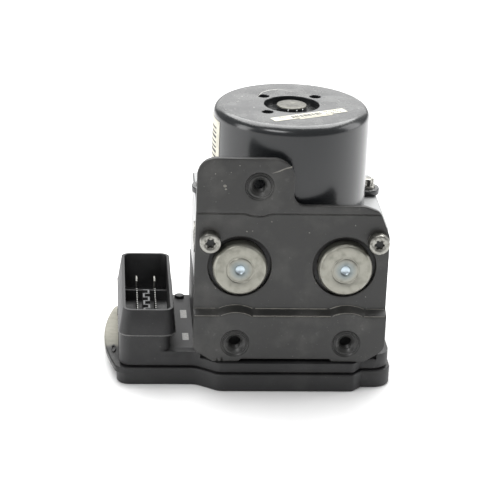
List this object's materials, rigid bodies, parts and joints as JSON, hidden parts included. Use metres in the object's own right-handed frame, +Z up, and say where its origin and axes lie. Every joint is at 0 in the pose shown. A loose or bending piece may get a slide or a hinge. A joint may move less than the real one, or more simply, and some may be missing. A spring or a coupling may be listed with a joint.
{
  "type": "abs brake module",
  "caption": "Hydraulic anti-lock brake unit: pump motor on a bored aluminium block, stamped steel bracket in front, control unit with upright multi-pin socket below.",
  "frame": {"origin": "where the motor axis meets the underside of the control unit", "axes": "+Z up along the motor axis, -Y out of the bracket face, +X away from the connector"},
  "size_m": [0.1503, 0.0966, 0.1408],
  "materials": {
    "can_black": "satin black e-coat",
    "bracket_black": "satin black powder coat",
    "block_aluminium": "machined extrusion",
    "plated_steel": "zinc plated",
    "bright_steel": "ground",
    "housing_plastic": "moulded, fine texture",
    "cover_plastic": "moulded, fine texture",
    "ferrite": "sintered ferrite",
    "lamination": "laminated stack",
    "copper": "enamelled copper wire",
    "brass": "sintered bronze",
    "carbon": "carbon",
    "holder_plastic": "glass-filled moulding",
    "rubber": "moulded",
    "tin": "tin plated",
    "gold": "plated contact",
    "board": "solder mask",
    "label_white": "printed film",
    "zinc_cast": "die cast"
  },
  "bodies": {
    "module": {"motor_can": "can_black", "motor_screws": "plated_steel", "motor_end_plate": "zinc_cast", "motor_magnets": "ferrite", "top_bush": "brass", "bearing_outer_race": "bright_steel", "bearing_balls": "bright_steel", "brush_holder": "holder_plastic", "brushes": "carbon", "brush_springs": "bright_steel", "shaft_seal": "rubber", "motor_contacts": "tin", "valve_block": "block_aluminium", "valve_cartridges": "bright_steel", "valve_coils": "holder_plastic", "pump_sleeves": "bright_steel", "pump_spring_left": "bright_steel", "pump_spring_right": "bright_steel", "pump_plugs": "plated_steel", "accumulator_cap_left": "plated_steel", "accumulator_cap_right": "plated_steel", "accumulator_spring_left": "bright_steel", "accumulator_spring_right": "bright_steel", "bracket": "bracket_black", "bracket_nuts": "plated_steel", "bracket_screws": "plated_steel", "ecu_housing": "housing_plastic", "ecu_cover": "cover_plastic", "ecu_gasket": "rubber", "circuit_board": "board", "connector_pins": "gold", "connector_blades": "tin", "housing_screws": "plated_steel", "vent_plug": "rubber", "top_label": "label_white", "side_label": "label_white"},
    "rotor": {"motor_shaft": "bright_steel", "armature_core": "lamination", "armature_windings": "copper", "commutator": "copper", "bearing_inner_race": "bright_steel", "eccentric_ring": "bright_steel"},
    "pump_plunger_left": {"pump_piston_left": "bright_steel"},
    "pump_plunger_right": {"pump_piston_right": "bright_steel"},
    "accumulator_left": {"accumulator_piston_left": "block_aluminium", "piston_seal_left": "rubber"},
    "accumulator_right": {"accumulator_piston_right": "block_aluminium", "piston_seal_right": "rubber"}
  },
  "joints": [
    {"name": "rotor_spin", "type": "hinge", "parent": "module", "child": "rotor", "pos_m": [0, 0, 0.088], "axis": [0, 0, 1], "continuous": true},
    {"name": "pump_plunger_left_stroke", "type": "slide", "parent": "module", "child": "pump_plunger_left", "axis": [-1, 0, 0], "range_m": [0, 0.0024], "stiffness_N_per_m": 900, "springref_m": -0.004, "deforming": ["pump_spring_left"]},
    {"name": "pump_plunger_right_stroke", "type": "slide", "parent": "module", "child": "pump_plunger_right", "axis": [1, 0, 0], "range_m": [0, 0.0024], "stiffness_N_per_m": 900, "springref_m": -0.004, "deforming": ["pump_spring_right"]},
    {"name": "accumulator_left_stroke", "type": "slide", "parent": "module", "child": "accumulator_left", "axis": [0, -1, 0], "range_m": [0, 0.008], "stiffness_N_per_m": 700, "springref_m": -0.004, "deforming": ["accumulator_spring_left"]},
    {"name": "accumulator_right_stroke", "type": "slide", "parent": "module", "child": "accumulator_right", "axis": [0, -1, 0], "range_m": [0, 0.008], "stiffness_N_per_m": 700, "springref_m": -0.004, "deforming": ["accumulator_spring_right"]}
  ]
}
